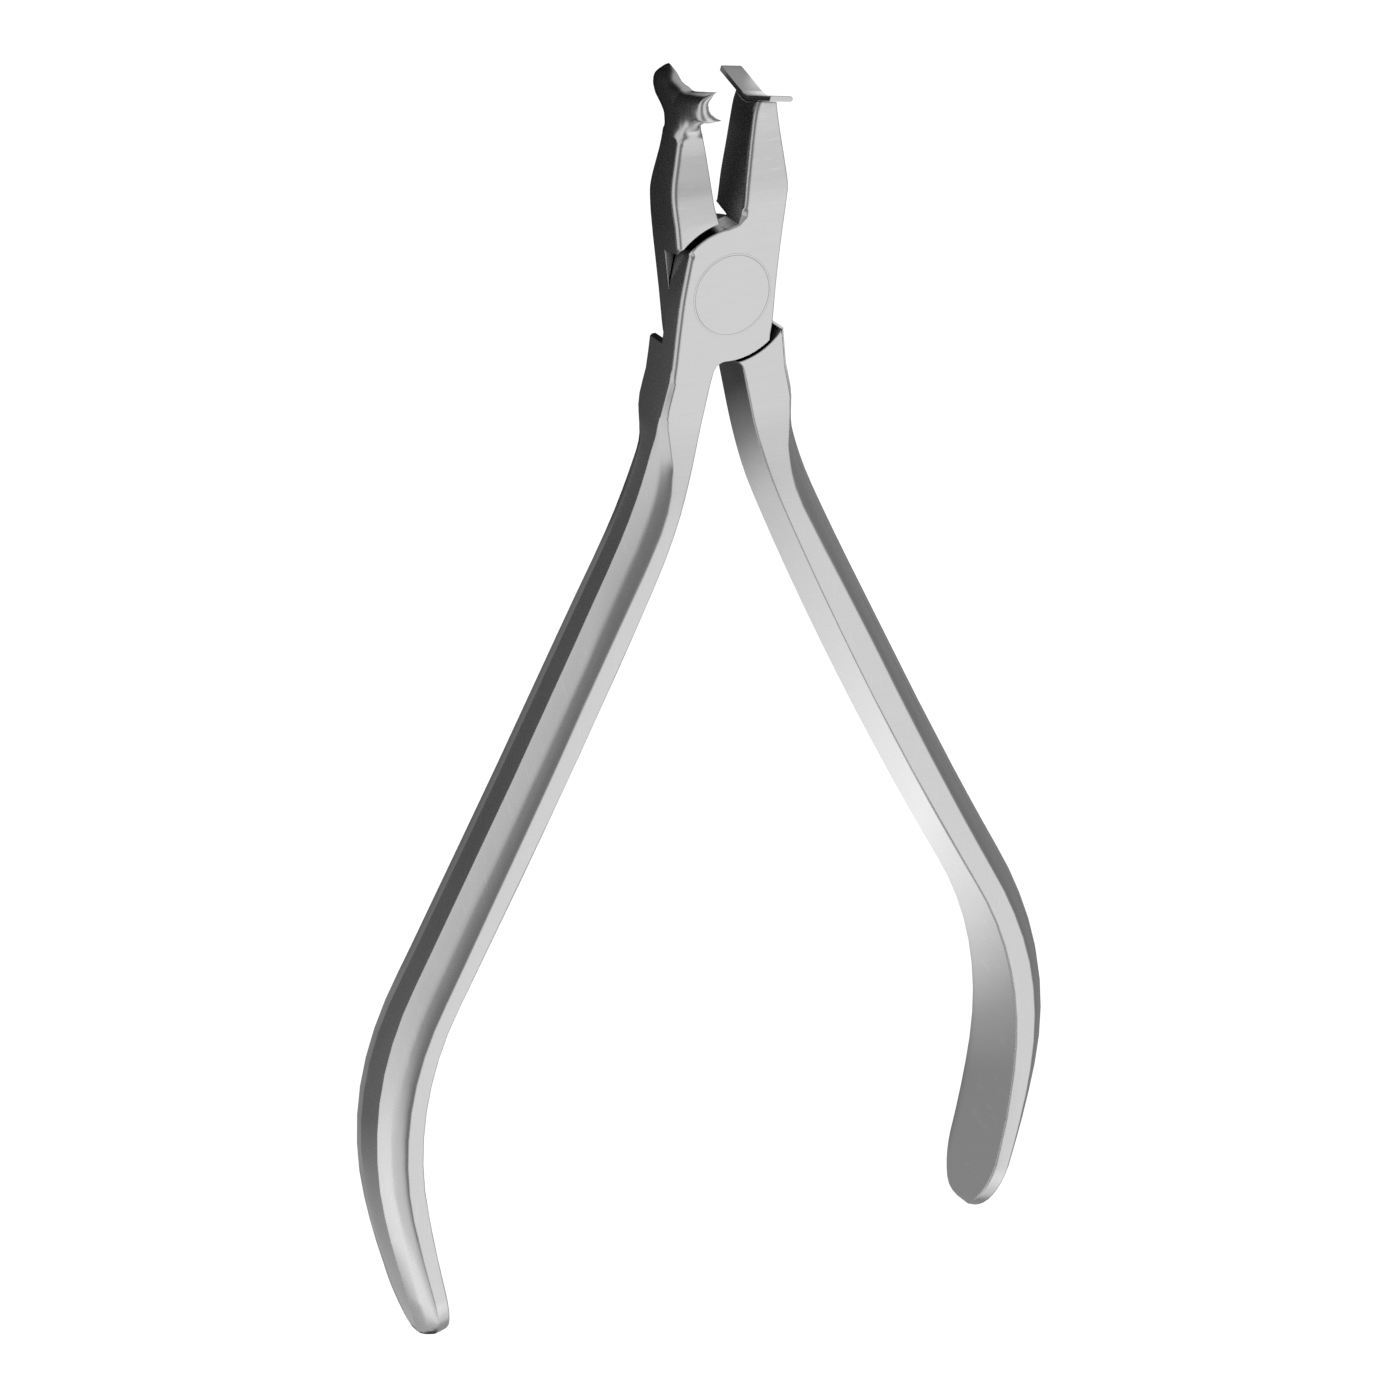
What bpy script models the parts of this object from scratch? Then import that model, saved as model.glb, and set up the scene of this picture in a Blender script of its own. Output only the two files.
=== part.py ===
"""Dental crown-crimping pliers, at rest with the jaws open.

Two lap-jointed arms cross on a flush rivet pin. The right jaw carries a thin bent blade and
the left jaw ends in a grooved cup of the same bend. The frame has X to the right, Y along the
pliers to the jaws and Z up through the joint, with the origin on the pin's lower face.
"""
import math

import bmesh
import bpy
from mathutils import Matrix, Vector

# All driving dimensions are in millimetres and degrees; MM turns them into metres once.
MM = 0.001

# Lap joint
JOINT_THICKNESS = 6.4
LAP_CLEARANCE = 0.2
DISC_RADIUS = 7.45
REAR_TOP_RADIUS = 7.05
SHOULDER_INNER_RADIUS = 8.0
FRONT_LOWER_SHOULDER = 7.85
FRONT_SHOULDER_TIP = -5.45
FRONT_UPPER_SHOULDER = 8.62
REAR_LOWER_SHOULDER = 7.75
REAR_SHOULDER_TIP = -4.78
REAR_UPPER_SHOULDER = 8.36
CROTCH_RADIUS = 1.5
DISC_CORNER = (-4.7, -5.78)
DISC_ARC_START = 48.5
DISC_ARC_END = 86.0

# Rivet pin
PIN_HEAD_RADIUS = 4.32
PIN_HEAD_DEPTH = 1.4
PIN_SHANK_RADIUS = 2.5
PIN_CLEARANCE = 0.1
PIN_EDGE = 0.1

# Handles: width, half thickness, shoulder inset and crease height along the inner edge
NECK_Y = -10.0
FRONT_LENGTH = 112.3
REAR_LENGTH = 110.4
END_ROUND = 6.9
END_SIDE_ROUND = 1.4
FRONT_WIDTH = ((0, 4.78), (4, 4.86), (7, 4.35), (10, 4.27), (15, 4.4), (20, 4.53), (30, 4.66), (45, 4.63),
               (60, 4.56), (72, 4.36), (82, 4.32), (89, 4.12), (96.5, 3.85), (104, 3.35), (112, 2.8))
REAR_WIDTH = ((0, 5.2), (4, 5.2), (7, 4.97), (10, 4.9), (15, 4.84), (22, 4.96), (34, 5.2), (48, 5.18),
              (61, 5.02), (74, 4.85), (82, 4.85), (89, 4.5), (96.5, 3.9), (102, 3.45), (112, 2.9))
HALF_THICKNESS = ((0, 3.2), (5, 3.2), (9, 3.4), (15, 3.85), (25, 4.1), (38, 4.25), (50, 4.35),
                  (65, 4.5), (75, 4.65), (86, 4.9), (93, 5.05), (99, 5.2), (112, 5.2))
SHOULDER_INSET = ((0, 0.55), (4, 0.62), (7, 1.1), (10, 2.05), (14, 2.8), (19, 2.85), (30, 2.65), (60, 2.65),
                  (72, 2.65), (82, 2.5), (89, 2.3), (96.5, 2.0), (104, 1.7), (112, 1.4))
CREASE_HEIGHT = ((0, 2.65), (3, 2.6), (5.5, 2.0), (8, 1.27), (15, 1.27), (25, 1.35), (38, 1.46),
                 (72, 1.55), (80, 1.75), (90, 1.95), (106, 1.65), (112, 1.3))
SHOULDER_BULGE = ((0, 0), (4, 0), (7, 0.4), (12, 1), (78, 1), (89, 1), (97, 0.9), (112, 0.7))
UPPER_FACET = 0.31
LOWER_FACET = 0.14
FACET_HEIGHT = 0.54
BAND_START = 0.27
INNER_FILLET = 0.25

# Inner edge of each handle as (length, turn) pieces, seen with the handle on the right
FRONT_INNER_X = 2.36
FRONT_HEADING = 12.6
FRONT_PATH = ((6.64, 0), (15.73, 13.3), (49.86, 3.1), (22.54, -38.7), (30, -13.35))
REAR_INNER_X = 1.9
REAR_HEADING = 12.7
REAR_PATH = ((3.98, 0), (12.18, 11.65), (53.54, 6.5), (23.13, -37.0), (30, -21.8))

# Outlines of the joint and the jaws, seen with the handle on the right and the jaw on the left
JOINT_OUTER = ((6.78, -7.1), (6.6, -5.4), (6.4, -3.4), (5.98, 0.1), (5.34, 3.6))
FRONT_SIDE = ((-4.78, -5.2), (-5.05, -3.37), (-5.37, 0.83), (-5.78, 4.86))
REAR_SIDE = ((-5.06, -5.1), (-5.25, -3.85), (-5.68, -0.19), (-6.12, 3.02), (-6.52, 6.0))
FRONT_JAW_OUTER = ((-6.25, 8.6), (-6.4, 9.9), (-6.54, 11.3), (-6.34, 13.0), (-5.99, 15.3), (-5.62, 17.6),
                   (-5.3, 19.8), (-5.1, 21.6))
FRONT_JAW_INNER = ((-1.12, 8.6), (-1.3, 10.0), (-1.43, 11.5), (-1.6, 13.0), (-1.9, 15.3), (-2.18, 17.6),
                   (-2.55, 19.9), (-3.15, 21.6))
REAR_JAW_OUTER = ((-6.8, 8.4), (-7.0, 10.0), (-7.1, 11.5), (-6.95, 13.1), (-6.66, 14.6), (-6.36, 16.2),
                  (-6.1, 18.0), (-5.95, 19.6), (-5.8, 20.4))
REAR_JAW_INNER = ((-1.75, 8.4), (-2.2, 10.0), (-2.42, 11.5), (-2.61, 13.1), (-2.8, 14.6), (-3.02, 16.2),
                  (-3.36, 18.0), (-3.64, 19.6), (-3.82, 20.4))
FRONT_JAW_HALF = (3.2, 3.2, 3.15, 3.04, 2.88, 2.74, 2.66, 2.62)
REAR_JAW_HALF = (3.2, 3.05, 2.9, 2.65, 2.45, 2.25, 2.15, 2.15, 2.15)
JOINT_CHAMFER = 0.55
DISC_CHAMFER = 0.16
REAR_INNER_EDGE = 0.1
FRONT_SIDE_FILLET = 0.25
REAR_SIDE_CHAMFER = 0.58

# Bend shared by the blade and the cup: two wings rise from a round bend in the middle
WING_RISE = 16.0
BEND_RADIUS = 3.0

# Blade
BLADE_LEFT = 2.82
BLADE_RIGHT = 5.45
BLADE_HALF_LENGTH = 5.5
BLADE_TOP = 20.96
BLADE_THICKNESS = 0.62
BLADE_LEAN = 0.14
BLADE_TILT = 9.0
BLADE_EDGE = 0.08
BLADE_SEAM = 0.08

# Cup
CUP_HALF_LENGTH = 5.4
GROOVE_CENTRE = (-2.05, 22.28)
GROOVE_RADIUS = 1.95
GROOVE_START = 132.0
GROOVE_END = 251.0


def at(table, value):
    """Smooth curve through the (position, size) pairs of a table."""
    last = len(table) - 1
    for i in range(last):
        if value <= table[i + 1][0] or i == last - 1:
            break
    (x0, y0), (x1, y1) = table[i], table[i + 1]
    before, after = table[max(i - 1, 0)], table[min(i + 2, last)]
    slope0 = (y1 - before[1]) / (x1 - before[0])
    slope1 = (after[1] - y0) / (after[0] - x0)
    step = x1 - x0
    t = min(max((value - x0) / step, 0), 1)
    return ((2 * t**3 - 3 * t**2 + 1) * y0 + (t**3 - 2 * t**2 + t) * step * slope0
            + (3 * t**2 - 2 * t**3) * y1 + (t**3 - t**2) * step * slope1)


def smooth(points, per):
    """Points on a smooth curve through the given ones, with so many steps between neighbours."""
    points = [Vector(point) for point in points]
    last = len(points) - 1
    found = []
    for i in range(last):
        before, start = points[max(i - 1, 0)], points[i]
        end, after = points[i + 1], points[min(i + 2, last)]
        for j in range(per):
            t = j / per
            found.append(start * (2 * t**3 - 3 * t**2 + 1) + (end - before) / 2 * (t**3 - 2 * t**2 + t)
                         + end * (3 * t**2 - 2 * t**3) + (after - start) / 2 * (t**3 - t**2))
    return found + [points[-1]]


def on_circle(radius, degrees, centre=(0, 0)):
    angle = math.radians(degrees)
    return Vector((centre[0] + radius * math.cos(angle), centre[1] + radius * math.sin(angle)))


def along_path(start_x, heading, pieces, distance):
    """Point and outward normal on the inner edge of a handle, so far below the neck."""
    point, angle = Vector((start_x, NECK_Y)), math.radians(heading)
    for length, turn in pieces:
        run = min(distance, length)
        bend = math.radians(turn) * run / length
        middle = angle + bend / 2
        chord = run if abs(bend) < 1e-9 else run * math.sin(bend / 2) / (bend / 2)
        point = point + Vector((math.sin(middle), -math.cos(middle))) * chord
        angle += bend
        distance -= run
        if distance <= 0:
            break
    return point, Vector((math.cos(angle), math.sin(angle)))


def normals(points):
    """Unit normals on the right-hand side of a run of points."""
    found = []
    for i in range(len(points)):
        way = points[min(i + 1, len(points) - 1)] - points[max(i - 1, 0)]
        found.append(Vector((way.y, -way.x)).normalized())
    return found


def shoulder_curve(inset, crease, half, bulge, facet):
    """Upper half of an outer side: from the flat over a soft band and a facet down to the crease."""
    depth = half - crease
    broken = (inset * facet, crease + depth * FACET_HEIGHT)
    turn = inset - (inset - broken[0]) * BAND_START
    curve = []
    for i in range(7):
        t = min(i / 5, 1)
        away = (1 - t) ** 2 * inset + 2 * t * (1 - t) * turn + t**2 * broken[0]
        height = (1 - t**2) * half + t**2 * broken[1]
        if i == 6:
            away, height = 0, crease
        plain = i / 6
        away = away * bulge + inset * (1 - plain) * (1 - bulge)
        height = height * bulge + (half - depth * plain) * (1 - bulge)
        curve.append((away, height))
    return curve


def shoulder(point, normal, inset, crease, half, bulge):
    """Outer side of an arm, with a fuller shoulder below than above."""
    lower = shoulder_curve(inset, crease, half, bulge, LOWER_FACET)
    sides = shoulder_curve(inset, crease, half, bulge, UPPER_FACET)
    sides += [(away, -height) for away, height in reversed(lower)]
    return [Vector((*(point - normal * away), height)) for away, height in sides]


def corner(point, normal, size, half, rounded):
    """Side with a fillet or a chamfer at both flats."""
    middle = size * (0.293 if rounded else 0.5)
    upper = [(size, half), (middle, half - middle), (0, half - size)]
    sides = upper + [(away, -height) for away, height in reversed(upper)]
    return [Vector((*(point - normal * away), height)) for away, height in sides]


def solid(name, bm, collection, mirrored=False):
    """Object from a bmesh in millimetres, closed and facing out."""
    if mirrored:
        bmesh.ops.transform(bm, matrix=Matrix.Scale(-1, 4, (1, 0, 0)), verts=bm.verts)
    bmesh.ops.transform(bm, matrix=Matrix.Scale(MM, 4), verts=bm.verts)
    bmesh.ops.recalc_face_normals(bm, faces=bm.faces)
    mesh = bpy.data.meshes.new(name)
    bm.to_mesh(mesh)
    bm.free()
    thing = bpy.data.objects.new(name, mesh)
    collection.objects.link(thing)
    thing.parent = pivot
    if collection is cutters:
        thing.hide_render = True
        thing.display_type = "WIRE"
    return thing


def loft(rings, bm):
    """Closed body through rings of equal length, with both ends capped."""
    grid = [[bm.verts.new(point) for point in ring] for ring in rings]
    for first, second in zip(grid, grid[1:]):
        for k in range(len(first)):
            n = (k + 1) % len(first)
            bm.faces.new((first[k], first[n], second[n], second[k]))
    bm.faces.new(grid[0])
    bm.faces.new(grid[-1])


def turned(name, profile, collection, segments=120):
    """Body of revolution about the pivot from (radius, height) points."""
    bm = bmesh.new()
    loft([[Vector((*on_circle(radius, 360 * i / segments), height)) for i in range(segments)]
          for radius, height in profile], bm)
    return solid(name, bm, collection)


def boolean(thing, operation, other):
    modifier = thing.modifiers.new(other.name, "BOOLEAN")
    modifier.operation = operation
    modifier.solver = "EXACT"
    modifier.object = other


def crotch(inner_x, heading):
    """Fillet between a handle's inner edge and the disc, from the neck up to the disc."""
    edge, normal = along_path(inner_x, heading, ((1, 0),), 0)
    way = Vector((-normal.y, normal.x))
    start = edge - normal * CROTCH_RADIUS
    reach = DISC_RADIUS + CROTCH_RADIUS
    middle = -start.dot(way)
    rise = middle - math.sqrt(reach**2 - (start + way * middle).length_squared)
    centre = start + way * rise
    first = math.atan2(normal.y, normal.x)
    last = math.atan2(-centre.y, -centre.x)
    points = []
    for i in range(9):
        angle = first + (last - first) * i / 8
        points.append(centre + Vector((math.cos(angle), math.sin(angle))) * CROTCH_RADIUS)
    return points


def handle_stations(length):
    """Distances below the neck, closer together where the section changes fast."""
    run = [0, 1.4, 2.8, 4, 5, 6, 7, 8, 9.2, 10.6, 12.2, 14.2, 16.6, 19.4, 22.8, 27, 32, 37, 42, 47, 52, 57, 61.5,
           65.5, 69, 72, 75, 78, 81, 84, 87, 90, 93, 96, 98.8, 101.4]
    last = length - END_ROUND
    turns = (6, 14, 23, 32, 41, 50, 59, 67, 75, 81, 86)
    return [s for s in run if s < last] + [last + END_ROUND * math.sin(math.radians(turn)) for turn in turns]


def arm(name, inner_x, heading, path, length, widths, top_radius, side, side_chamfer, side_rounded, jaw_outer,
        jaw_inner, jaw_edge, jaw_half, mirrored):
    """One arm with its handle on the right and its jaw on the left; mirrored swaps them."""
    joint_half = JOINT_THICKNESS / 2
    outer, inner = [], []
    # Handle, from its end up to the neck
    for s in reversed(handle_stations(length)):
        edge, normal = along_path(inner_x, heading, path, s)
        width, half = at(widths, s), at(HALF_THICKNESS, s)
        inset, crease = at(SHOULDER_INSET, s), at(CREASE_HEIGHT, s)
        fillet = INNER_FILLET
        past = (s - (length - END_ROUND)) / END_ROUND
        if past > 0:
            scale = math.sqrt(1 - past**2)
            half, crease = half * scale, crease * scale
        side_past = (s - (length - END_SIDE_ROUND)) / END_SIDE_ROUND
        if side_past > 0:
            scale = math.sqrt(1 - side_past**2)
            edge = edge + normal * width * (1 - scale) / 2
            width, inset, fillet = width * scale, inset * scale, fillet * scale
        fillet = min(fillet, half * 0.4)
        outer.append(shoulder(edge + normal * width, normal, inset, crease, half, at(SHOULDER_BULGE, s)))
        inner.append(corner(edge, -normal, fillet, half, True))
    handle_rings = len(outer)
    # Joint, outer side: up to the disc, round it and into the jaw
    neck_width = at(widths, 0)
    edge, normal = along_path(inner_x, heading, path, 0)
    run = smooth([edge + normal * neck_width, *JOINT_OUTER, on_circle(top_radius, DISC_ARC_START)], 3)[:-1]
    steps = 16
    disc = [on_circle(top_radius, DISC_ARC_START + (DISC_ARC_END - DISC_ARC_START) * i / (steps - 1))
            for i in range(steps)]
    root = Vector(jaw_inner[0])
    meet = Vector((disc[-1].x + (root.x - disc[-1].x) * 0.72, disc[-1].y + (root.y - disc[-1].y) * 0.28))
    points = run + disc + [meet] + smooth(jaw_inner, 3)
    ways = normals(points)
    first_disc, first_jaw = len(run), len(run) + len(disc) + 1
    jaw_steps = smooth([(h, 0) for h in jaw_half], 3)
    for i in range(1, len(points)):
        half = jaw_steps[i - first_jaw].x if i >= first_jaw else joint_half
        size = DISC_CHAMFER if first_disc <= i < first_jaw else JOINT_CHAMFER if i < first_jaw else jaw_edge
        outer.append(shoulder(points[i], ways[i], size, half - size, half, 0))
    # Joint, inner side: crotch, disc, side of the joint and outer side of the jaw
    fillet = crotch(inner_x, heading)
    touch = math.degrees(math.atan2(fillet[-1].y, fillet[-1].x))
    low = Vector(DISC_CORNER)
    low_angle = math.degrees(math.atan2(low.y, low.x))
    steps = 24
    arc = [on_circle(DISC_RADIUS, touch + (low_angle - touch) * i / steps) for i in range(1, steps)]
    points = fillet + arc + [low] + smooth([*side, jaw_outer[0]], 3)[:-1] + smooth(jaw_outer, 3)
    ways = [-way for way in normals([*points])]
    first_side, side_jaw = len(fillet) + len(arc), len(points) - len(smooth(jaw_outer, 3))
    inner_count = len(inner)
    for i in range(1, len(points)):
        half = jaw_steps[i - side_jaw].x if i >= side_jaw else joint_half
        size = DISC_CHAMFER if i <= first_side else side_chamfer
        inner.append(corner(points[i], ways[i], size, half, side_rounded or i <= first_side))
    jaw_rings = len(jaw_steps)

    bm = bmesh.new()
    right = [[bm.verts.new(point) for point in profile] for profile in outer]
    left = [[bm.verts.new(point) for point in profile] for profile in inner]
    for grid in (right, left):
        for first, second in zip(grid, grid[1:]):
            for k in range(len(first) - 1):
                bm.faces.new((first[k], first[k + 1], second[k + 1], second[k]))
    for k in (0, -1):
        for i in range(handle_rings - 1):
            bm.faces.new((right[i][k], right[i + 1][k], left[i + 1][k], left[i][k]))
        for i in range(-jaw_rings, -1):
            bm.faces.new((right[i][k], right[i + 1][k], left[i + 1][k], left[i][k]))
        bm.faces.new([ring[k] for ring in right[handle_rings - 1:len(right) - jaw_rings + 1]]
                     + [ring[k] for ring in reversed(left[inner_count - 1:len(left) - jaw_rings + 1])])
    bm.faces.new(right[0] + left[0][::-1])
    bm.faces.new(right[-1] + left[-1][::-1])
    return solid(name, bm, parts, mirrored)


def lap_pocket(name, inner, face, lower_radius, tip_y, upper_radius):
    """Room for the other arm's half of the lap, from its inner face past the joint's face."""
    tip = math.degrees(math.asin(-tip_y / lower_radius))
    past = inner + (face - inner) * 2
    rings = []
    for height, upper in ((inner, SHOULDER_INNER_RADIUS), (past, 2 * upper_radius - SHOULDER_INNER_RADIUS)):
        outline = [Vector((-10, tip_y))]
        outline += [on_circle(lower_radius, 180 + tip + (180 - 2 * tip) * i / 80) for i in range(81)]
        outline += [Vector((10, tip_y)), Vector((10, 0))]
        outline += [on_circle(upper, 180 * i / 120) for i in range(121)] + [Vector((-10, 0))]
        rings.append([Vector((*point, height)) for point in outline])
    bm = bmesh.new()
    loft(rings, bm)
    return solid(name, bm, cutters)


def pin_bore(name, upper):
    """Bore through an arm with a counterbore for the pin's upper or lower head."""
    way = 1 if upper else -1
    bore, sink = PIN_SHANK_RADIUS + PIN_CLEARANCE, PIN_HEAD_RADIUS + PIN_CLEARANCE
    floor = JOINT_THICKNESS / 2 - PIN_HEAD_DEPTH - PIN_CLEARANCE
    profile = [(bore, -way * JOINT_THICKNESS), (bore, way * floor), (sink, way * floor),
               (sink, way * JOINT_THICKNESS)]
    return turned(name, profile, cutters)


def rise(depth):
    """Height that the shared bend adds at this distance from the middle."""
    angle = math.radians(WING_RISE)
    straight = BEND_RADIUS * math.sin(angle)
    if abs(depth) < straight:
        return BEND_RADIUS - math.sqrt(BEND_RADIUS**2 - depth**2)
    return BEND_RADIUS * (1 - math.cos(angle)) + math.tan(angle) * (abs(depth) - straight)


def bend_stations(half_length):
    """Places across the bend, closer together in its round middle."""
    straight = BEND_RADIUS * math.sin(math.radians(WING_RISE))
    middle = [straight * i / 5 for i in range(-5, 6)]
    wings = [straight + (half_length - straight) * i / 8 for i in range(1, 9)]
    return [-z for z in reversed(wings)] + middle + wings


def blade_drop(x):
    return math.tan(math.radians(BLADE_TILT)) * (x - BLADE_LEFT)


def blade():
    round_end = BLADE_THICKNESS / 2
    edge = [(BLADE_LEFT + BLADE_EDGE, 0), (BLADE_LEFT, -BLADE_EDGE),
            (BLADE_LEFT - BLADE_LEAN, BLADE_EDGE - BLADE_THICKNESS),
            (BLADE_LEFT - BLADE_LEAN + BLADE_EDGE, -BLADE_THICKNESS)]
    for i in range(7):
        turn = on_circle(round_end, -90 + 30 * i, (BLADE_RIGHT - round_end, -round_end))
        edge.append((turn.x, turn.y))
    rings = []
    for z in bend_stations(BLADE_HALF_LENGTH):
        rings.append([Vector((x, BLADE_TOP + rise(z) - blade_drop(x) + y, z)) for x, y in edge])
    bm = bmesh.new()
    loft(rings, bm)
    return solid("crimping_blade", bm, parts)


def blade_seat():
    """Removes the front jaw's end down to a thin braze seam under the blade."""
    under = BLADE_THICKNESS + BLADE_SEAM
    rings = []
    for z in bend_stations(BLADE_HALF_LENGTH):
        base = BLADE_TOP + rise(z) - under
        rings.append([Vector((0, base - blade_drop(0), z)), Vector((8, base - blade_drop(8), z)),
                      Vector((8, 26, z)), Vector((0, 26, z))])
    bm = bmesh.new()
    loft(rings, bm)
    return solid("blade_seat", bm, cutters)


def cup():
    """Grooved cup on wings that lean out from the rear jaw's end."""
    centre = Vector(GROOVE_CENTRE)
    full = rise(CUP_HALF_LENGTH)
    stations = bend_stations(CUP_HALF_LENGTH)
    rings = []
    for z in stations:
        out = abs(z) / CUP_HALF_LENGTH
        drop = Vector((0, rise(z) - full))
        groove = []
        for i in range(15):
            angle = GROOVE_START + (GROOVE_END - GROOVE_START) * i / 14
            groove.append(on_circle(GROOVE_RADIUS, angle, centre) + drop)
        # In the middle the lower lip draws back to the line of the jaw's inner face.
        limit = -3.72 + (1.1 * max(0, out - 0.5) / 0.5)
        groove = [Vector((min(p.x, limit), p.y)) if i > 8 else p for i, p in enumerate(groove)]
        # Between the middle and the lower prong the rim dips a little.
        dip = math.sin(math.pi * min(max((-z / CUP_HALF_LENGTH - 0.12) / 0.56, 0), 1)) ** 2
        groove[0] += Vector((-0.14, -0.26)) * dip
        groove[1] += Vector((-0.09, -0.16)) * dip
        groove[2] += Vector((-0.04, -0.06)) * dip
        reach = max(0, (abs(z) - 2.1) / (CUP_HALF_LENGTH - 2.1))
        low = 20.3 - 2.05 * (1 - reach) ** 2
        lip = groove[-1]
        foot = Vector((min(-3.7 - 0.45 * out, lip.x - 0.05), min(low + 0.05, lip.y - 0.1)))
        heel = Vector((-5.8 + 0.8 * out**2, low + 0.1 * out))
        back_low = Vector((-5.86 + 0.55 * out**2, max(19.3 + 1.5 * out, low + 0.35)))
        back_mid = Vector((-5.9 + 0.38 * out**2, 20.6 + 1.25 * out))
        back_high = Vector((-5.62 + 0.22 * out**2, 21.5 + 1.45 * out))
        top_back = Vector((-4.95 + 0.5 * out, 22.16 + 1.36 * out - 0.2 * dip))
        ring = groove + [foot, heel, back_low, back_mid, back_high, top_back]
        rings.append([Vector((*point, z)) for point in ring])
    bm = bmesh.new()
    loft(rings, bm)
    return solid("cup_head", bm, cutters)


def metal(name, colour, roughness):
    material = bpy.data.materials.new(name)
    material.use_nodes = True
    shader = material.node_tree.nodes["Principled BSDF"]
    shader.inputs["Base Color"].default_value = (*colour, 1)
    shader.inputs["Metallic"].default_value = 1
    shader.inputs["Roughness"].default_value = roughness
    return material


for thing in list(bpy.data.objects):
    bpy.data.objects.remove(thing)
bpy.context.scene.unit_settings.system = "METRIC"
bpy.context.scene.unit_settings.scale_length = 1
parts = bpy.data.collections.new("dental_pliers")
cutters = bpy.data.collections.new("cutters")
for collection in (parts, cutters):
    bpy.context.scene.collection.children.link(collection)
cutters.hide_render = True

pivot = bpy.data.objects.new("pivot_axis", None)
pivot.location = (0, 0, JOINT_THICKNESS / 2 * MM)
pivot.empty_display_size = 0.01
parts.objects.link(pivot)

half_lap = LAP_CLEARANCE / 2
front_arm = arm("front_arm", FRONT_INNER_X, FRONT_HEADING, FRONT_PATH, FRONT_LENGTH, FRONT_WIDTH, DISC_RADIUS,
                FRONT_SIDE, FRONT_SIDE_FILLET, True, FRONT_JAW_OUTER, FRONT_JAW_INNER, JOINT_CHAMFER,
                FRONT_JAW_HALF, True)
boolean(front_arm, "DIFFERENCE", blade_seat())
boolean(front_arm, "DIFFERENCE", lap_pocket("rear_lap_pocket", half_lap, -JOINT_THICKNESS / 2, FRONT_LOWER_SHOULDER,
                                            FRONT_SHOULDER_TIP, FRONT_UPPER_SHOULDER))
boolean(front_arm, "DIFFERENCE", pin_bore("front_bore", True))

rear_arm = arm("rear_arm", REAR_INNER_X, REAR_HEADING, REAR_PATH, REAR_LENGTH, REAR_WIDTH, REAR_TOP_RADIUS,
               REAR_SIDE, REAR_SIDE_CHAMFER, False, REAR_JAW_OUTER, REAR_JAW_INNER, REAR_INNER_EDGE,
               REAR_JAW_HALF, False)
boolean(rear_arm, "UNION", cup())
boolean(rear_arm, "DIFFERENCE", lap_pocket("front_lap_pocket", -half_lap, JOINT_THICKNESS / 2, REAR_LOWER_SHOULDER,
                                           REAR_SHOULDER_TIP, REAR_UPPER_SHOULDER))
boolean(rear_arm, "DIFFERENCE", pin_bore("rear_bore", False))

top = JOINT_THICKNESS / 2
neck = top - PIN_HEAD_DEPTH
pin_profile = [(PIN_HEAD_RADIUS - PIN_EDGE, top), (PIN_HEAD_RADIUS, top - PIN_EDGE), (PIN_HEAD_RADIUS, neck),
               (PIN_SHANK_RADIUS, neck), (PIN_SHANK_RADIUS, -neck), (PIN_HEAD_RADIUS, -neck),
               (PIN_HEAD_RADIUS, PIN_EDGE - top), (PIN_HEAD_RADIUS - PIN_EDGE, -top)]
pivot_pin = turned("pivot_pin", pin_profile, parts)
crimping_blade = blade()

for thing, colour, roughness in ((front_arm, (0.62, 0.62, 0.63), 0.3), (rear_arm, (0.6, 0.6, 0.61), 0.3),
                                 (pivot_pin, (0.68, 0.68, 0.69), 0.25), (crimping_blade, (0.55, 0.55, 0.56), 0.35)):
    thing.data.materials.append(metal(thing.name, colour, roughness))
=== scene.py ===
"""Dental crown-crimping pliers in satin stainless steel, lying open on a pale table."""

import math

import bpy
from mathutils import Matrix, Vector


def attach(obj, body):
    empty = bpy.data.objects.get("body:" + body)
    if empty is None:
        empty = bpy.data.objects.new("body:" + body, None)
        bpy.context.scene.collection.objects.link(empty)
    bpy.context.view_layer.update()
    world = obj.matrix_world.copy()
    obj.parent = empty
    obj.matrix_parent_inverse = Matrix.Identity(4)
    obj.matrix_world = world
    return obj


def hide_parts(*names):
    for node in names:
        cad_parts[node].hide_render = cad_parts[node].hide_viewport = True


# Joining of the CAD's points and faces, and the turns at which an edge is sharp
MERGE_DISTANCE = 0.000002
SAME_PLANE = math.radians(0.4)
SHARP_TURN = math.radians(25)
CUP_SHARP_TURN = math.radians(40)
CREASE_TURN = math.radians(4)
FLATS_WEIGHT = 80

# Places along the pliers, in metres from the pivot
JOINT_START = -0.0135
CUP_START = 0.0168
CUP_FOOT = 0.0178
JAW_END = 0.03

# Ground parts of the cup: where they start and end along the pliers, their limit across, and the passes
CUP_OUTER_SIDE = (0.0183, 0.0214, -0.0049, 14)
CUP_WHOLE = (CUP_FOOT + 0.0003, JAW_END, 1, 6)
CUP_CUTS = 2

# Fillet between the left jaw's flat and the cup
FOOT_FROM = 0.0174
FOOT_FULL = 0.0179
FOOT_TO = 0.0212
FOOT_FADE = 0.0008
FOOT_PASSES = 6
FOOT_NEAR = 0.0001

# Rivet: what is wider than the shank is a head
SHANK_LIMIT = 0.004
UPPER_HEAD_RADIUS = 0.00462
LOWER_HEAD_RADIUS = 0.00441
JOINT_MIDDLE = 0.0032
UPPER_FACE = 0.0063
UPPER_HEAD_TOP = 0.006408
SEAM_RADIUS_MM = 4.4

# Reach of the painted shade in narrow gaps
GAP_SHADE_REACH = 0.0027
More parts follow.
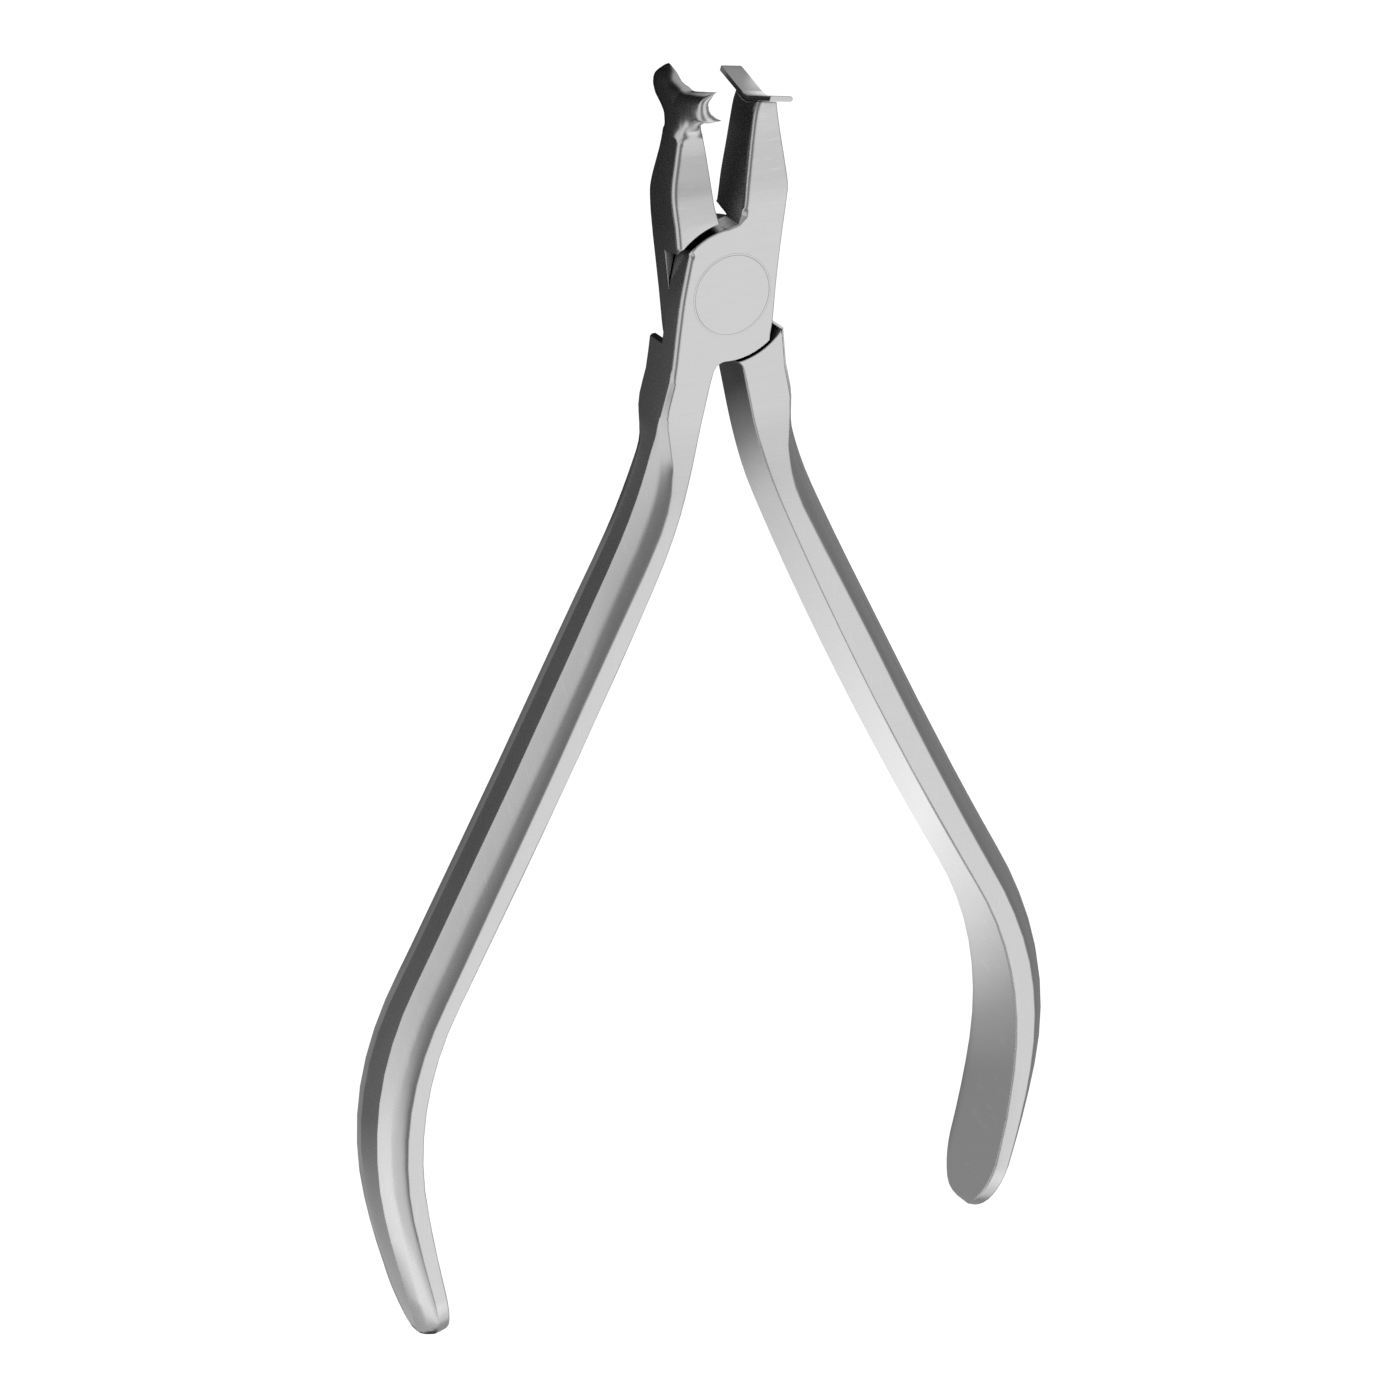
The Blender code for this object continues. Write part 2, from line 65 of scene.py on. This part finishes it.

# Table, in millimetres: the run along the pliers that the ramps of its painted reflection glow cover, and
# their reach across
TABLE_START = -120
TABLE_RUN = 150
TABLE_REACH = 50
TABLE_HEIGHT = -0.00235
BETWEEN_TOP = 1.3

# Studio seen in the steel: direction from the pliers, cosines where a spot starts and is full, strength
ROOM_LEVEL = 0.42
STUDIO_LIGHTS = (((0.45, -0.5, 0.75), 0.8, 1.0, 0.62),
                 ((-0.9, -0.3, 0.0), 0.45, 1.0, 0.42),
                 ((0.3, -0.95, 0.15), 0.75, 0.97, 0.4))
STUDIO_DARKS = (((-0.4, 0.1, 0.9), 0.75, 0.93, 0.5),
                ((0.97, -0.05, 0.2), 0.75, 0.93, 0.45),
                ((-0.33, -0.66, 0.66), 0.86, 0.97, 0.42))

# Camera, for a square frame of 1400 pixels
CAMERA_PLACE = (-0.54294, 0.40579, 0.99757)
CAMERA_RIGHT = (0.88162, 0.01942, 0.47156)
CAMERA_UP = (0.15921, 0.92837, -0.33588)
FRAME_PIXELS = 1400
FOCAL_PIXELS = 11400
SENSOR_WIDTH = 36.0

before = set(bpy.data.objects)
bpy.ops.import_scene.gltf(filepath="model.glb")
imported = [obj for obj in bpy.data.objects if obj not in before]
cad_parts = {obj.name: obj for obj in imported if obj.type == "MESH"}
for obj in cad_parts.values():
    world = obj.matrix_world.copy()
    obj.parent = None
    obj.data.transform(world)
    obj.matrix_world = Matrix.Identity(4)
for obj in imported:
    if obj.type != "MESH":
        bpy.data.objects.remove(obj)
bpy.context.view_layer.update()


class Value:
    """A socket of a node tree, on which maths is written as an expression."""

    def __init__(self, tree, socket):
        self.tree = tree
        self.socket = socket

    def math(self, operation, other, swapped=False):
        values = [other, self] if swapped else [self, other]
        return self.tree.node("ShaderNodeMath", {"operation": operation}, *values)

    def __add__(self, other):
        return self.math("ADD", other)

    def __radd__(self, other):
        return self.math("ADD", other, swapped=True)

    def __sub__(self, other):
        return self.math("SUBTRACT", other)

    def __rsub__(self, other):
        return self.math("SUBTRACT", other, swapped=True)

    def __mul__(self, other):
        return self.math("MULTIPLY", other)

    def __truediv__(self, other):
        return self.math("DIVIDE", other)

    def __pow__(self, other):
        return self.math("POWER", other)


class Tree:
    """Node tree in which every node is added by one method."""

    def __init__(self, tree):
        self.tree = tree
        self.tree.nodes.clear()

    def node(self, kind, settings=None, *inputs, output=0, **named):
        """A node with its settings, then its sockets by place or by name. None leaves a socket alone."""
        made = self.tree.nodes.new(kind)
        for name, setting in (settings or {}).items():
            if name == "stops":
                self.set_stops(made.color_ramp.elements, setting)
            else:
                setattr(made, name, setting)
        by_name = [(name.replace("_", " "), value) for name, value in named.items()]
        for place, value in [*enumerate(inputs), *by_name]:
            if isinstance(value, Value):
                self.tree.links.new(value.socket, made.inputs[place])
            elif value is not None:
                made.inputs[place].default_value = value
        return Value(self, made.outputs[output]) if len(made.outputs) else made

    def set_stops(self, steps, stops):
        """Grey stops of a ramp, as (position, tone) pairs in rising order."""
        steps.remove(steps[1])
        steps[0].position = stops[0][0]
        steps[0].color = (*[stops[0][1]] * 3, 1)
        for position, tone in stops[1:]:
            steps.new(position).color = (tone, tone, tone, 1)

    def place(self, scale=(1, 1, 1), turn=0.0):
        """Object coordinates, turned about the pivot's axis and scaled."""
        start = self.node("ShaderNodeTexCoord", output="Object")
        return self.node("ShaderNodeMapping", {"vector_type": "POINT"}, start, Rotation=(0, 0, turn),
                         Scale=scale)

    def split(self):
        """Place in millimetres, across and along the pliers."""
        start = self.place((1000, 1000, 1000))
        return [self.node("ShaderNodeSeparateXYZ", None, start, output=axis) for axis in "XY"]

    def noise(self, where, detail, roughness):
        return self.node("ShaderNodeTexNoise", {"noise_dimensions": "3D"}, where, Scale=1.0, Detail=detail,
                         Roughness=roughness)

    def spread(self, value, low, high, to_low=0.0, to_high=1.0):
        """Smooth step of a value from one range to another."""
        return self.node("ShaderNodeMapRange", {"interpolation_type": "SMOOTHSTEP"}, value, low, high, to_low,
                         to_high)

    def ramp(self, value, stops):
        """Tone of a grey ramp at a value."""
        tone = self.node("ShaderNodeValToRGB", {"stops": stops}, value)
        return self.node("ShaderNodeSeparateColor", None, tone)

    def dot(self, first, second):
        return self.node("ShaderNodeVectorMath", {"operation": "DOT_PRODUCT"}, first, second, output="Value")

    def mix(self, factor, first, second):
        """Mixed colour of two colours, which are the node's seventh and eighth sockets."""
        return self.node("ShaderNodeMix", {"data_type": "RGBA"}, factor, *[None] * 5, first, second, output=2)


def steel(name, tone, roughness, grain_turn, grain_scale=(260, 5200, 2600), marks=1.0, edge=0.0002,
          seam=None):
    """Satin steel: grinding lines, soft unevenness, wavy marks on the jaws, scratches on the handles, and
    painted shade in narrow gaps.
    """
    material = bpy.data.materials.new(name)
    material.use_nodes = True
    tree = Tree(material.node_tree)
    across, along = tree.split()
    grain = tree.noise(tree.place(grain_scale, grain_turn), 3.0, 0.6)
    fine = tree.noise(tree.place((7000, 7000, 7000)), 2.0, 0.6)
    cloud = tree.noise(tree.place((120, 80, 120)), 3.0, 0.55)
    wave = tree.noise(tree.place((330, 1900, 330), 0.3), 4.0, 0.62)
    scratch = tree.noise(tree.place((6500, 260, 260), 0.62), 2.0, 0.5)
    on_jaws = tree.spread(along, 6.0, 11.0)
    on_handles = 1 - tree.spread(along, -24.0, -14.0)
    waves = tree.spread(wave, 0.56, 0.7) * on_jaws * marks
    scratches = tree.spread(scratch, 0.6, 0.7) * on_handles * marks
    # Rounded corners, and painted shade that darkens narrow gaps
    rounded = tree.node("ShaderNodeBevel", {"samples": 6}, Radius=edge)
    flat = tree.node("ShaderNodeNewGeometry", output="Normal")
    # Rounded edges are made lighter in colour
    lighter_edges = tree.spread(1 - tree.dot(rounded, flat), 0.02, 0.14)
    gap = tree.node("ShaderNodeAmbientOcclusion", {"samples": 6}, Distance=GAP_SHADE_REACH, output="AO")
    unshaded_share = tree.spread(gap, 0.3, 0.8, 0.06, 1.0)
    shade = 0.5 + (grain - 0.5) * 0.14 + (fine - 0.5) * 0.12 + (cloud - 0.5) * 0.16
    shade = shade + waves * 0.2 + scratches * 0.16
    dark = (*[c * 0.84 for c in tone], 1)
    light = (*[min(1, c * 1.16) for c in tone], 1)
    colour = tree.mix(shade, dark, light)
    colour = tree.mix(lighter_edges * 0.3, colour, (0.8, 0.8, 0.8, 1))
    if seam:
        radius = (across * across + along * along) ** 0.5
        line = tree.spread(radius, seam - 0.07, seam - 0.01) - tree.spread(radius, seam + 0.01, seam + 0.07)
        colour = tree.mix(line * tree.spread(cloud, 0.3, 0.6, 0.25, 0.6), colour, (0.1, 0.1, 0.1, 1))
    # Painted shade: the colour goes nearly black where nearby surfaces close in
    shown = tree.mix(unshaded_share, (0.02, 0.02, 0.02, 1), colour)
    rough = roughness + (grain - 0.5) * 0.12 + (cloud - 0.5) * 0.08 - waves * 0.03
    height = grain * 0.6 + fine * 0.4 - waves * 0.4 - scratches * 0.3
    bump = tree.node("ShaderNodeBump", None, Strength=0.08, Distance=0.00003, Height=height, Normal=rounded)
    shader = tree.node("ShaderNodeBsdfPrincipled", None, Base_Color=shown, Metallic=1.0, Roughness=rough,
                       Normal=bump)
    tree.node("ShaderNodeOutputMaterial", None, shader)
    return material


def fine_copy(node, body, material, shape=None, shade=None, chamfers_to=JAW_END):
    """Copy of a CAD piece with its points joined, its flat parts whole and its round parts smooth."""
    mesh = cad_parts[node].data.copy()
    piece = bpy.data.objects.new(node + "_finish", mesh)
    bpy.context.scene.collection.objects.link(piece)
    bpy.ops.object.select_all(action="DESELECT")
    piece.select_set(True)
    bpy.context.view_layer.objects.active = piece
    bpy.ops.object.mode_set(mode="EDIT")
    bpy.ops.mesh.select_all(action="SELECT")
    bpy.ops.mesh.remove_doubles(threshold=MERGE_DISTANCE)
    bpy.ops.mesh.customdata_custom_splitnormals_clear()
    bpy.ops.mesh.dissolve_limited(angle_limit=SAME_PLANE)
    bpy.ops.mesh.tris_convert_to_quads(face_threshold=math.radians(30), shape_threshold=math.radians(60))
    bpy.ops.object.mode_set(mode="OBJECT")
    if shape:
        shape(mesh)
    bpy.ops.object.shade_smooth()
    mark_sharp(mesh)
    even = piece.modifiers.new("even_flats", "WEIGHTED_NORMAL")
    even.keep_sharp = True
    even.weight = FLATS_WEIGHT
    bpy.ops.object.modifier_apply(modifier=even.name)
    round_chamfers(mesh, chamfers_to)
    if shade:
        shade(mesh)
    mesh.materials.clear()
    mesh.materials.append(material)
    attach(piece, body)
    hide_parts(node)


def soften_cup(mesh):
    """The cup's prongs, rim and foot are rounded by hand grinding."""
    for cut in range(CUP_CUTS):
        select_points(mesh, CUP_START, JAW_END)
        bpy.ops.object.mode_set(mode="EDIT")
        bpy.ops.mesh.quads_convert_to_tris()
        bpy.ops.mesh.subdivide(number_cuts=1)
        bpy.ops.object.mode_set(mode="OBJECT")
    for low, high, outside, passes in (CUP_OUTER_SIDE, CUP_WHOLE):
        select_points(mesh, low, high, outside)
        bpy.ops.object.mode_set(mode="EDIT")
        bpy.ops.mesh.vertices_smooth(factor=0.5, repeat=passes)
        bpy.ops.object.mode_set(mode="OBJECT")


def select_points(mesh, low, high, outside=1):
    """Selects a mesh's points, edges and faces between two places along the pliers and left of a third."""
    chosen = {point.index for point in mesh.vertices if low < point.co.y < high and point.co.x < outside}
    for point in mesh.vertices:
        point.select = point.index in chosen
    for part in (*mesh.edges, *mesh.polygons):
        part.select = all(index in chosen for index in part.vertices)


def widen_head(mesh):
    """The rivet's upper head is ground flush over its seam, and the lower one fills its counterbore."""
    for point in mesh.vertices:
        radius = math.hypot(point.co.x, point.co.y)
        if radius > SHANK_LIMIT:
            wide = UPPER_HEAD_RADIUS if point.co.z > JOINT_MIDDLE else LOWER_HEAD_RADIUS
            point.co.x *= wide / radius
            point.co.y *= wide / radius
        if point.co.z > UPPER_FACE:
            point.co.z = UPPER_HEAD_TOP


def mark_sharp(mesh):
    """Edges that turn more than the limit are sharp, and so is the crease beside an upright side."""
    sides = {}
    for face in mesh.polygons:
        for key in face.edge_keys:
            sides.setdefault(key, []).append(face.normal.copy())
    for edge in mesh.edges:
        near = sides.get(edge.key, [])
        if len(near) != 2:
            edge.use_edge_sharp = True
            continue
        first, second = near
        turn = first.angle(second, 0.0)
        upright = min(abs(first.z), abs(second.z)) < 0.02
        leaning = 0.06 < max(abs(first.z), abs(second.z)) < 0.6
        on_cup = mesh.vertices[edge.vertices[0]].co.y > CUP_FOOT
        crease = upright and leaning and not on_cup and turn > CREASE_TURN
        edge.use_edge_sharp = turn > (CUP_SHARP_TURN if on_cup else SHARP_TURN) or crease


def round_chamfers(mesh, top):
    """The leaning faces between a flat and a side of the joint and jaws are shaded as one round edge."""
    flats, sides = {}, {}
    for face in mesh.polygons:
        lean = abs(face.normal.z)
        group = flats if lean > 0.96 else sides if lean < 0.2 else None
        if group is not None:
            for index in face.vertices:
                group[index] = group.get(index, Vector()) + face.normal
    normals = [Vector(corner.vector) for corner in mesh.corner_normals]
    for face in mesh.polygons:
        places = [mesh.vertices[index].co.y for index in face.vertices]
        if not 0.5 < abs(face.normal.z) < 0.88 or min(places) < JOINT_START or max(places) > top:
            continue
        for loop, index in zip(face.loop_indices, face.vertices):
            near = [group[index] for group in (flats, sides) if index in group]
            if len(near) == 1 and near[0].length > 0.5:
                normals[loop] = near[0].normalized()
    mesh.normals_split_custom_set(normals)


def even_foot(mesh):
    """The ground fillet between the jaw's flat and the cup is shaded with evened normals."""
    corners, links = {}, {}
    normals = [Vector(corner.vector) for corner in mesh.corner_normals]
    for face in mesh.polygons:
        if face.center.y < FOOT_FROM:
            continue
        for loop, index in zip(face.loop_indices, face.vertices):
            corners.setdefault(index, []).append(loop)
    for edge in mesh.edges:
        first, second = edge.vertices
        if first in corners and second in corners:
            links.setdefault(first, []).append(second)
            links.setdefault(second, []).append(first)
    at = {}
    for index, loops in corners.items():
        total = sum((normals[loop] for loop in loops), Vector())
        at[index] = total.normalized() if total.length > 0.1 else normals[loops[0]]
    for evening in range(FOOT_PASSES):
        wider = {}
        for index, normal in at.items():
            total = normal.copy()
            for other in links.get(index, ()):
                distance = (mesh.vertices[other].co - mesh.vertices[index].co).length
                nearness = FOOT_NEAR / (FOOT_NEAR + distance)
                total += at[other] * nearness * max(0.0, normal.dot(at[other]))
            wider[index] = total.normalized()
        at = wider
    for index, loops in corners.items():
        along = mesh.vertices[index].co.y
        share = smooth(along, FOOT_FROM, FOOT_FULL) * (1 - smooth(along, FOOT_TO, FOOT_TO + FOOT_FADE))
        if share > 0:
            for loop in loops:
                normals[loop] = normals[loop].lerp(at[index], share).normalized()
    mesh.normals_split_custom_set(normals)


def smooth(value, low, high):
    """Smooth step from 0 to 1."""
    step = min(1.0, max(0.0, (value - low) / (high - low)))
    return step * step * (3 - 2 * step)


def stops(pairs, low, high):
    """Ramp stops from (millimetres along, size) pairs, for a ramp over the table's run."""
    return [((along - TABLE_START) / TABLE_RUN, (size - low) / (high - low)) for along, size in pairs]


# The pliers' outlines on the table, and how bright the table's painted reflection glow is beside them and
# between the handles
TABLE_LEFT = stops(((-115, -34.3), (-98, -39.5), (-86, -39.3), (-73, -35.8), (-29, -13.1), (-15, -8.1),
                    (-9, -7.0), (-5, -5.4), (11, -7.1), (24, -5.6)), -TABLE_REACH, 0)
TABLE_NEAR = stops(((-112, 0.42), (-100, 0.28), (-90, 0.14), (-60, 0.08), (-20, 0.07), (-5, 0.06), (5, 0.02),
                    (24, 0.01)), 0, 1)
TABLE_BETWEEN = stops(((-110, 0.33), (-99, 0.32), (-93, 0.46), (-88, 0.7), (-82, 0.94), (-69, 1.2),
                       (-58, 1.07), (-47, 0.94), (-37, 0.84), (-28, 0.7), (-24.6, 0.5), (-21, 0.25),
                       (-15, 0.06), (29, 0.04)), 0, BETWEEN_TOP)
TABLE_RIGHT_EDGE = stops(((-100, 40), (-88, 39), (-78, 34.5), (-65, 28), (-43, 18), (-29, 11.5), (-17, 7)),
                         0, TABLE_REACH)
TABLE_RIGHT = stops(((-20, 0), (-14, 0.9), (24, 0.9), (25.5, 0)), 0, 1)


def table():
    """Pale table, white with a soft shadow to the camera; to the steel's reflections it glows with a painted
    map of bright and dark, dark near the pliers' left.
    """
    bpy.ops.mesh.primitive_circle_add(vertices=96, radius=2.0, fill_type="NGON",
                                      location=(0, 0, TABLE_HEIGHT))
    floor = bpy.context.object
    floor.name = "table_top"
    material = bpy.data.materials.new("pale_table")
    material.use_nodes = True
    tree = Tree(material.node_tree)
    seen = tree.node("ShaderNodeLightPath", output="Is Camera Ray")
    mirrored = tree.node("ShaderNodeLightPath", output="Is Glossy Ray")
    paper = tree.node("ShaderNodeBsdfDiffuse", None, Color=(0.9, 0.9, 0.9, 1))
    white = tree.node("ShaderNodeEmission", None, Color=(1, 1, 1, 1), Strength=1.16)
    shown = tree.node("ShaderNodeMixShader", None, 0.9, paper, white)
    across, along = tree.split()
    step = (along - TABLE_START) / TABLE_RUN
    # The tones below are painted reflections: a glow that only the steel's reflections see
    # Left of the pliers
    beside = tree.ramp(step, TABLE_LEFT) * TABLE_REACH - TABLE_REACH - across
    near_left = tree.spread(beside, -1.0, 1.0) * tree.ramp(step, TABLE_NEAR)
    strip = tree.spread(beside, -1.0, 0.0) - tree.spread(beside, 1.2, 2.4)
    strip = strip * (1 - tree.spread(along, -20, -14))
    far_left = tree.spread(beside, 9.0, 13.5, 0.0, 0.72)
    # Between the handles, and right of the pliers
    past_right = tree.spread(across - tree.ramp(step, TABLE_RIGHT_EDGE) * TABLE_REACH, -1.0, 1.5)
    between = tree.spread(beside, -9.0, -4.0, 1.0, 0.0) * (1 - past_right) * tree.ramp(step, TABLE_BETWEEN)
    beside_right = past_right * (1 - tree.spread(along, -22, -15)) * 0.26
    right = tree.spread(across, 6.5, 9.0) * tree.ramp(step, TABLE_RIGHT)
    # Beyond the jaws, and through the space between them
    beyond = tree.spread(along, 20, 22, 0.0, 0.36) * tree.spread(across, 0.5, 3.5)
    rim = tree.spread(along, 23.2, 24) * (tree.spread(across, -3.2, -1.8) - tree.spread(across, 0.5, 3.5))
    gap_across = tree.spread(across, 0.5, 1.3) - tree.spread(across, 3, 4)
    through = gap_across * (tree.spread(along, 9, 10) - tree.spread(along, 15, 17))
    tone = near_left + strip * 0.16 + far_left + between * BETWEEN_TOP + beside_right + right
    tone = tone + beyond + rim * 0.5 + through * 0.5 + 0.012
    # Painted reflection: the table glows with this map in glossy rays only
    painted_reflection = tree.node("ShaderNodeEmission", None, Color=(1, 1, 1, 1), Strength=tone)
    mixed = tree.node("ShaderNodeMixShader", None, mirrored, paper, painted_reflection)
    final = tree.node("ShaderNodeMixShader", None, seen, mixed, shown)
    tree.node("ShaderNodeOutputMaterial", None, final)
    floor.data.materials.append(material)


def surroundings():
    """White room for the camera; for the steel, a studio with soft lights and dark corners between them."""
    world = bpy.data.worlds.new("studio")
    bpy.context.scene.world = world
    world.use_nodes = True
    tree = Tree(world.node_tree)
    way = tree.node("ShaderNodeTexCoord", output="Generated")

    def toward(direction, start, full, amount):
        return tree.spread(tree.dot(way, Vector(direction).normalized()[:]), start, full, 0.0, amount)

    level = ROOM_LEVEL
    for spot in STUDIO_LIGHTS:
        level = level + toward(*spot)
    for spot in STUDIO_DARKS:
        level = level * (1 - toward(*spot))
    seen = tree.node("ShaderNodeLightPath", output="Is Camera Ray")
    strength = level * (1 - seen) + seen
    light = tree.node("ShaderNodeBackground", None, Color=(1, 1, 1, 1), Strength=strength)
    tree.node("ShaderNodeOutputWorld", None, light)


def photo_camera():
    """Camera at the picture's place."""
    right = Vector(CAMERA_RIGHT)
    up = Vector(CAMERA_UP)
    camera = bpy.data.cameras.new("photo_camera")
    camera.sensor_fit = "HORIZONTAL"
    camera.sensor_width = SENSOR_WIDTH
    camera.lens = FOCAL_PIXELS / FRAME_PIXELS * SENSOR_WIDTH
    camera.clip_start = 0.05
    camera.clip_end = 20.0
    holder = bpy.data.objects.new("photo_camera", camera)
    bpy.context.scene.collection.objects.link(holder)
    turn = Matrix((right, up, right.cross(up))).transposed().to_4x4()
    holder.matrix_world = Matrix.Translation(CAMERA_PLACE) @ turn
    bpy.context.scene.camera = holder


front_steel = steel("front_arm_satin", (0.66, 0.66, 0.662), roughness=0.27, grain_turn=0.0)
rear_steel = steel("rear_arm_satin", (0.65, 0.65, 0.652), roughness=0.27, grain_turn=0.5)
pin_steel = steel("rivet_satin", (0.66, 0.66, 0.662), roughness=0.26, grain_turn=0.2, marks=0.3, edge=0.00005,
                  seam=SEAM_RADIUS_MM)
blade_steel = steel("blade_satin", (0.62, 0.62, 0.622), roughness=0.28, grain_turn=1.2,
                    grain_scale=(400, 4000, 2600), marks=0.6, edge=0.00012)

fine_copy("front_arm", "front_arm_body", front_steel)
fine_copy("rear_arm", "rear_arm_body", rear_steel, soften_cup, even_foot, CUP_FOOT)
fine_copy("pivot_pin", "front_arm_body", pin_steel, widen_head)
fine_copy("crimping_blade", "front_arm_body", blade_steel)

table()
surroundings()
photo_camera()
bpy.context.scene.view_settings.view_transform = "Standard"
